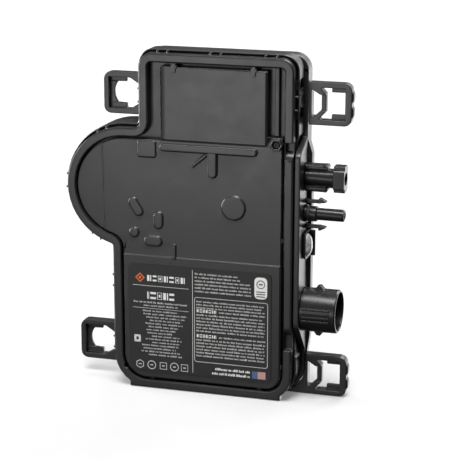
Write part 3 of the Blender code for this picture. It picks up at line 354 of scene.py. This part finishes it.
def lens_plastic(name):
    """Glossy smoky lens whose random pale patches of colour are painted glare."""
    shader = Shader(name, (0.30, 0.30, 0.31), 0.12, specular=0.8)
    shader.bsdf.inputs["Coat Weight"].default_value = 0.6
    shader.bsdf.inputs["Coat Roughness"].default_value = 0.05
    # Painted highlight: random pale patches in the base colour stand in for glare.
    painted_glare = shader.noise(2.5, 2.0)
    shader.vary_colour(painted_glare, (0.10, 0.10, 0.11), (0.55, 0.55, 0.56))
    shader.vary_roughness(painted_glare, 0.08, 0.18)
    return shader.material


def speckled(name, colour, roughness, size_mm, metallic=0.0):
    """Plain hidden-part finish with speckle and fine relief."""
    shader = Shader(name, colour, roughness, metallic)
    speckle = shader.noise(size_mm, 4.0)
    shader.vary_colour(speckle, tint(colour, 0.75), tint(colour, 1.2))
    shader.vary_roughness(speckle, roughness - 0.08, roughness + 0.08)
    shader.bump(speckle, 0.02, 0.5)
    return shader.material


MATERIALS = {
    "case_plastic": moulded_plastic("case_plastic", (0.016, 0.0163, 0.017), 0.31, 0.32, 0.010),
    "connector_plastic": moulded_plastic(
        "connector_plastic", (0.009, 0.009, 0.0095), 0.27, 0.22, 0.006, 0.35
    ),
    "label_film": printed_ink("label_film", (0.012, 0.012, 0.013), 0.45),
    "seal_rubber": soft_rubber("seal_rubber", (0.020, 0.020, 0.020)),
    "plated_contact": sheet_metal("plated_contact", (0.75, 0.74, 0.72), 0.25),
    "clear_lens": lens_plastic("clear_lens"),
    "circuit_board": speckled("circuit_board", (0.02, 0.12, 0.05), 0.35, 1.5),
    "ferrite": speckled("ferrite", (0.09, 0.09, 0.10), 0.6, 0.6),
    "copper": winding_wire("copper", (0.62, 0.30, 0.16)),
    "bobbin_plastic": moulded_plastic("bobbin_plastic", (0.04, 0.04, 0.04), 0.45, 0.3, 0.01),
    "capacitor_plastic": speckled("capacitor_plastic", (0.55, 0.45, 0.12), 0.35, 1.0),
    "chip_plastic": speckled("chip_plastic", (0.03, 0.03, 0.03), 0.5, 0.4),
    "aluminium": sheet_metal("aluminium", (0.76, 0.77, 0.78), 0.4),
    "potting": speckled("potting", (0.05, 0.05, 0.05), 0.6, 2.0),
    "thermal_pad": speckled("thermal_pad", (0.45, 0.50, 0.58), 0.7, 0.5),
    "steel": sheet_metal("steel", (0.55, 0.55, 0.56), 0.35),
    "black_steel": sheet_metal("black_steel", (0.05, 0.05, 0.05), 0.42),
    "varistor_coat": speckled("varistor_coat", (0.08, 0.16, 0.42), 0.4, 0.8),
}


INKS = {
    "white": printed_ink("print_white", (0.72, 0.72, 0.70)),
    "grey": printed_ink("print_grey", (0.55, 0.55, 0.54)),
    "dark": printed_ink("print_dark", (0.03, 0.03, 0.03)),
    "orange": printed_ink("print_orange", (0.62, 0.13, 0.03)),
    "blue": printed_ink("print_blue", (0.06, 0.10, 0.20)),
    "rose": printed_ink("print_rose", (0.42, 0.24, 0.22)),
}


def dress_cad_nodes():
    """Give every CAD node its slot's material."""
    for row in frame["record"]["subparts"]:
        node = NODES[row["node"]]
        node.data.materials.clear()
        node.data.materials.append(MATERIALS[row["material_slot"]])


# ---------------------------------------------------------------- meshes


def add_soft_edges(node, width_mm):
    """Join the facets, then round the edges as a mould does."""
    join = node.modifiers.new("Join", "WELD")
    join.merge_threshold = WELD_DISTANCE * MM
    bevel = node.modifiers.new("Edges", "BEVEL")
    bevel.width = width_mm * MM
    bevel.segments = EDGE_SEGMENTS
    bevel.limit_method = "ANGLE"
    bevel.angle_limit = math.radians(EDGE_ANGLE)
    bevel.use_clamp_overlap = False
    node.modifiers.new("Shading", "WEIGHTED_NORMAL")
    for polygon in node.data.polygons:
        polygon.use_smooth = True


def make_piece(name, shape, material):
    """Linked object made from a bmesh, which is freed."""
    mesh = bpy.data.meshes.new(name)
    shape.to_mesh(mesh)
    shape.free()
    mesh.materials.append(material)
    item = bpy.data.objects.new(name, mesh)
    bpy.context.collection.objects.link(item)
    return item


def circle(centre_x, centre_z, radius, sides, turn=0.0):
    """Corners of a regular polygon, turned by some degrees."""
    points = []
    for i in range(sides):
        angle = math.radians(turn + 360.0 * i / sides)
        points.append((centre_x + radius * math.cos(angle), centre_z + radius * math.sin(angle)))
    return points


# ---------------------------------------------------------------- label print


def label_point(x_mm, z_mm):
    """Place on the label's face, measured in millimetres from its low left corner."""
    return LABEL_LOW.x + x_mm * MM, LABEL_LOW.z + z_mm * MM


def add_flat(shape, outline_mm):
    """Thin solid patch of ink over the label, from its outline in label millimetres."""
    front = LABEL_LOW.y - INK_GAP * MM - INK_DEPTH * MM
    loops = []
    for y in (front, front + INK_DEPTH * MM):
        loop = []
        for point in outline_mm:
            x, z = label_point(*point)
            loop.append(shape.verts.new((x, y, z)))
        loops.append(loop)
    shape.faces.new(loops[0])
    shape.faces.new(list(reversed(loops[1])))
    count = len(outline_mm)
    for i in range(count):
        j = (i + 1) % count
        shape.faces.new((loops[0][j], loops[0][i], loops[1][i], loops[1][j]))


def rectangle(x, z, width, height):
    """Corners of a rectangle from its low left corner."""
    return [(x, z), (x + width, z), (x + width, z + height), (x, z + height)]


def rounded(x, z, width, height, radius):
    """Outline of a rectangle with round corners."""
    points = []
    high = z + height
    corners = ((x + width, z, -90.0), (x + width, high, 0.0), (x, high, 90.0), (x, z, 180.0))
    for corner_x, corner_z, start in corners:
        centre_x = corner_x - math.copysign(radius, corner_x - x - width / 2)
        centre_z = corner_z - math.copysign(radius, corner_z - z - height / 2)
        for i in range(CORNER_STEPS + 1):
            angle = math.radians(start + 90.0 * i / CORNER_STEPS)
            points.append((centre_x + radius * math.cos(angle), centre_z + radius * math.sin(angle)))
    return points


def add_frame_line(shape, outline, thickness):
    """Closed line of even thickness along an outline, as one strip of patches."""
    middle_x = sum(p[0] for p in outline) / len(outline)
    middle_z = sum(p[1] for p in outline) / len(outline)
    count = len(outline)

    def inward(point, previous, following):
        along = Vector((following[0] - previous[0], following[1] - previous[1])).normalized()
        side = Vector((-along.y, along.x))
        if side.dot(Vector((middle_x - point[0], middle_z - point[1]))) < 0:
            side = -side
        return point[0] + side.x * thickness, point[1] + side.y * thickness

    inner = [inward(outline[i], outline[i - 1], outline[(i + 1) % count]) for i in range(count)]
    for i in range(count):
        j = (i + 1) % count
        add_flat(shape, [outline[i], outline[j], inner[j], inner[i]])


def add_text_row(shape, rng, start, end, z, height, tick=TICK_WIDTHS):
    """Row of unreadable word-like marks: short upright ticks grouped with spaces."""
    x = start
    left = rng.randint(3, 9)
    while x < end:
        width = min(rng.uniform(*tick), end - x)
        rise = height * rng.choice(TICK_RISES)
        add_flat(shape, rectangle(x, z, width, rise))
        left -= 1
        x += width + rng.uniform(*(TICK_GAPS if left else WORD_GAPS))
        if not left:
            left = rng.randint(2, 9)


def add_block_row(shape, start, end, z, height, widths, gap):
    """Heading of plain hollow and solid blocks, spread between start and end."""
    stretch = (end - start - gap * (len(widths) - 1)) / sum(widths)
    x = start
    for number, width in enumerate(widths):
        wide = width * stretch
        if number % 3 == 1:
            add_flat(shape, rectangle(x, z, wide, height * 0.3))
            add_flat(shape, rectangle(x, z + height * 0.7, wide, height * 0.3))
        elif number % 3 == 2:
            add_frame_line(shape, rectangle(x, z, wide, height), 0.4)
            add_flat(shape, rectangle(x + wide * 0.32, z + height * 0.3, wide * 0.36, height * 0.4))
        else:
            add_flat(shape, rectangle(x, z, wide * 0.55, height))
            add_flat(shape, rectangle(x + wide * 0.75, z, wide * 0.25, height))
        x += wide + gap


def finish_print(name, shape, ink):
    """Turn patches of ink into one piece of the label's print."""
    bmesh.ops.recalc_face_normals(shape, faces=shape.faces)
    item = make_piece(name, shape, INKS[ink])
    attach(item, "root")
    return item


def add_left_column(plain, bold, rng):
    """Headings, subtitle rows and ragged specification rows."""
    for heading in HEADINGS:
        add_block_row(bold, *heading)
    for row in SUBTITLE_ROWS:
        add_text_row(plain, rng, *row)
    for row in range(SPECIFICATION_ROWS):
        half = rng.uniform(*SPECIFICATION_HALF_LENGTHS)
        middle = SPECIFICATION_CENTRE + rng.uniform(*SPECIFICATION_SHIFTS)
        left = max(SPECIFICATION_SIDES[0], middle - half)
        right = min(SPECIFICATION_SIDES[1], middle + half)
        z = SPECIFICATION_TOP - row * SPECIFICATION_PITCH
        add_text_row(plain, rng, left, right, z, SPECIFICATION_HEIGHT)


def add_right_column(plain, bold, rng):
    """Note rows, then the framed box with its two titled paragraphs."""
    for row in range(NOTE_ROWS):
        end = NOTE_RIGHT if row > 1 else NOTE_FIRST_ROWS_RIGHT - rng.uniform(0.0, NOTE_RAGGED)
        add_text_row(plain, rng, NOTE_LEFT, end, NOTE_TOP - row * NOTE_PITCH, NOTE_HEIGHT)
    add_frame_line(plain, rounded(*TEXT_BOX), TEXT_BOX_LINE)
    for row in range(BOX_ROWS):
        end = BOX_RIGHT - rng.uniform(0.0, BOX_RAGGED)
        add_text_row(plain, rng, BOX_LEFT, end, BOX_TOP - row * BOX_PITCH, BOX_HEIGHT)
    for title_z in TITLES_Z:
        add_block_row(bold, *TITLE_SIDES, title_z, TITLE_HEIGHT, TITLE_BLOCKS, TITLE_GAP)
        after_z = title_z + AFTER_TITLE_RISE
        add_text_row(plain, rng, AFTER_TITLE_LEFT, BOX_RIGHT, after_z, AFTER_TITLE_HEIGHT)
        for row in range(PARAGRAPH_ROWS):
            z = title_z - PARAGRAPH_DROP - row * PARAGRAPH_PITCH
            end = PARAGRAPH_RIGHT - rng.uniform(0.0, PARAGRAPH_RAGGED)
            add_text_row(plain, rng, BOX_LEFT, end, z, PARAGRAPH_HEIGHT)


def add_bottom_row(plain, bold, rng):
    """Bold closing rows, plain outline shapes and a framed square."""
    for row in BOTTOM_ROWS:
        add_text_row(bold, rng, *row, tick=BOLD_TICK_WIDTHS)
    for x, sides, turn, radius in OUTLINE_SHAPES:
        outline = circle(x, OUTLINE_SHAPE_Z, radius, sides, turn)
        add_frame_line(plain, outline, OUTLINE_SHAPE_LINE)
        add_flat(plain, rectangle(x - 0.9, OUTLINE_SHAPE_Z - 0.3, 1.8, 0.6))
    add_frame_line(bold, rounded(*FRAMED_SQUARE), FRAMED_SQUARE_LINE)


def make_label_text():
    """All the rows of the label, in a plain and a bold ink."""
    rng = random.Random(TEXT_SEED)
    plain = bmesh.new()
    bold = bmesh.new()
    for rule in RULES:
        add_flat(plain, rectangle(*rule))
    add_left_column(plain, bold, rng)
    add_right_column(plain, bold, rng)
    add_bottom_row(plain, bold, rng)
    finish_print("label_print", plain, "grey")
    finish_print("label_headings", bold, "white")


def make_label_patches():
    """White patch with its dark marks, orange diamond and two coloured tabs."""
    patch = bmesh.new()
    add_flat(patch, rounded(*PATCH))
    finish_print("label_patch", patch, "white")
    marks = bmesh.new()
    add_frame_line(marks, circle(*PATCH_RING, PATCH_RING_SIDES), PATCH_RING_LINE)
    for bar in (PATCH_RING_BAR, *PATCH_BARS):
        add_flat(marks, rectangle(*bar))
    dark_marks = finish_print("label_patch_marks", marks, "dark")
    dark_marks.location.y -= PATCH_MARKS_LIFT * MM

    mark = bmesh.new()
    add_frame_line(mark, circle(*DIAMOND, 4), DIAMOND_LINE)
    add_flat(mark, rounded(*DIAMOND_CORE))
    finish_print("label_mark", mark, "orange")
    for name, outline, ink in (("label_tab_blue", BLUE_TAB, "blue"), ("label_tab_grey", ROSE_TAB, "rose")):
        tab = bmesh.new()
        add_flat(tab, rectangle(*outline))
        finish_print(name, tab, ink)


# ---------------------------------------------------------------- plate hooks


def add_box(shape, low, high):
    """Closed box between two corners in metres."""
    made = bmesh.ops.create_cube(shape, size=1.0)["verts"]
    size = Vector(high) - Vector(low)
    bmesh.ops.scale(shape, vec=size, verts=made)
    bmesh.ops.translate(shape, vec=(Vector(low) + Vector(high)) / 2, verts=made)


def make_plate_hooks():
    """Two snap hooks that lie over the top edge of the raised plate."""
    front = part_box("front_cover")[0].y + PLATE_SETBACK
    for number, x in enumerate(HOOKS_X):
        shape = bmesh.new()
        for half, before, behind, foot, top in HOOK_BOXES:
            low = (x - half * MM, front + before * MM, PLATE_TOP + foot * MM)
            high = (x + half * MM, front + behind * MM, PLATE_TOP + top * MM)
            add_box(shape, low, high)
        bmesh.ops.recalc_face_normals(shape, faces=shape.faces)
        hook = make_piece(f"plate_hook_{number}", shape, MATERIALS["case_plastic"])
        add_soft_edges(hook, HOOK_EDGE)
        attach(hook, "root")


# ---------------------------------------------------------------- surroundings


def make_floor():
    """White paper sweep: a wide disc whose rim turns up into a backdrop."""
    shape = bmesh.new()
    rings = []
    for radius, height in FLOOR_PROFILE:
        corners = circle(0.0, 0.0, radius, FLOOR_SIDES)
        rings.append([shape.verts.new((x, y, height)) for x, y in corners])
    shape.faces.new(rings[0])
    for inner, outer in zip(rings, rings[1:]):
        for i in range(FLOOR_SIDES):
            j = (i + 1) % FLOOR_SIDES
            shape.faces.new((inner[i], outer[i], outer[j], inner[j]))
    paper = (FLOOR_WHITE, FLOOR_WHITE, FLOOR_WHITE)
    shader = Shader("floor_paper", paper, 0.9, specular=0.0)
    shader.vary_colour(shader.noise(40.0), tint(paper, 0.98), tint(paper, 1.02))
    shader.bsdf.inputs["Emission Color"].default_value = WHITE
    shader.bsdf.inputs["Emission Strength"].default_value = FLOOR_GLOW
    floor = make_piece("floor", shape, shader.material)
    floor.location.z = -FLOOR_DROP
    floor.visible_diffuse = False
    floor.visible_glossy = False
    floor.visible_shadow = False


def make_sky():
    """Dark studio with a soft panel in front, another behind and a pale ceiling."""
    world = bpy.data.worlds.new("studio")
    world.use_nodes = True
    nodes = world.node_tree.nodes
    links = world.node_tree.links
    direction = nodes.new("ShaderNodeTexCoord").outputs["Generated"]
    parts = nodes.new("ShaderNodeSeparateXYZ")
    links.new(direction, parts.inputs["Vector"])
    total = map_range(nodes, links, parts.outputs["Z"], *SKY_CEILING, SKY_BASE, SKY_OVERHEAD)
    for toward, fade, full, strength in SKY_PANELS.values():
        facing = nodes.new("ShaderNodeVectorMath")
        facing.operation = "DOT_PRODUCT"
        facing.inputs[1].default_value = Vector(toward).normalized()
        links.new(direction, facing.inputs[0])
        panel = map_range(nodes, links, facing.outputs["Value"], fade, full, 0.0, strength)
        both = nodes.new("ShaderNodeMath")
        links.new(total, both.inputs[0])
        links.new(panel, both.inputs[1])
        total = both.outputs["Value"]
    background = nodes["Background"]
    background.inputs["Color"].default_value = WHITE
    links.new(total, background.inputs["Strength"])
    bpy.context.scene.world = world


def make_light(name, kind, energy):
    """Linked light of a kind; returns its data and its object."""
    light = bpy.data.lights.new(name, kind)
    light.energy = energy
    item = bpy.data.objects.new(name, light)
    bpy.context.collection.objects.link(item)
    return light, item


def make_lights():
    """Three wide softboxes far away and one close to the front face."""
    for name, (direction, diameter, strength) in SUNS.items():
        sun, item = make_light(name, "SUN", strength)
        sun.angle = math.radians(diameter)
        item.rotation_euler = Vector(direction).to_track_quat("Z", "Y").to_euler()
    panel, item = make_light("face_softbox", "AREA", FACE_LIGHT_POWER)
    panel.size = FACE_LIGHT_SIZE
    item.location = FACE_LIGHT_PLACE
    toward = Vector(FACE_LIGHT_AIM) - Vector(FACE_LIGHT_PLACE)
    item.rotation_euler = toward.to_track_quat("-Z", "Y").to_euler()


def make_camera():
    """Long lens, a little above the unit and to its right."""
    azimuth = math.radians(CAMERA_AZIMUTH)
    elevation = math.radians(CAMERA_ELEVATION)
    back = Vector((
        math.sin(azimuth) * math.cos(elevation),
        -math.cos(azimuth) * math.cos(elevation),
        math.sin(elevation),
    ))
    camera = bpy.data.cameras.new("camera")
    camera.lens = CAMERA_LENS
    camera.sensor_width = CAMERA_SENSOR
    camera.clip_end = CAMERA_REACH
    item = bpy.data.objects.new("camera", camera)
    bpy.context.collection.objects.link(item)
    turn = (-back).to_track_quat("-Z", "Y").to_matrix().to_4x4()
    roll = Matrix.Rotation(math.radians(CAMERA_ROLL), 4, "Z")
    item.matrix_world = Matrix.Translation(CAMERA_AIM + back * CAMERA_DISTANCE) @ turn @ roll
    bpy.context.scene.camera = item
    bpy.context.scene.view_settings.view_transform = "Standard"


dress_cad_nodes()
for node_name, edge_width in EDGE_WIDTHS.items():
    add_soft_edges(NODES[node_name], edge_width)
make_label_text()
make_label_patches()
make_plate_hooks()
make_floor()
make_sky()
make_lights()
make_camera()
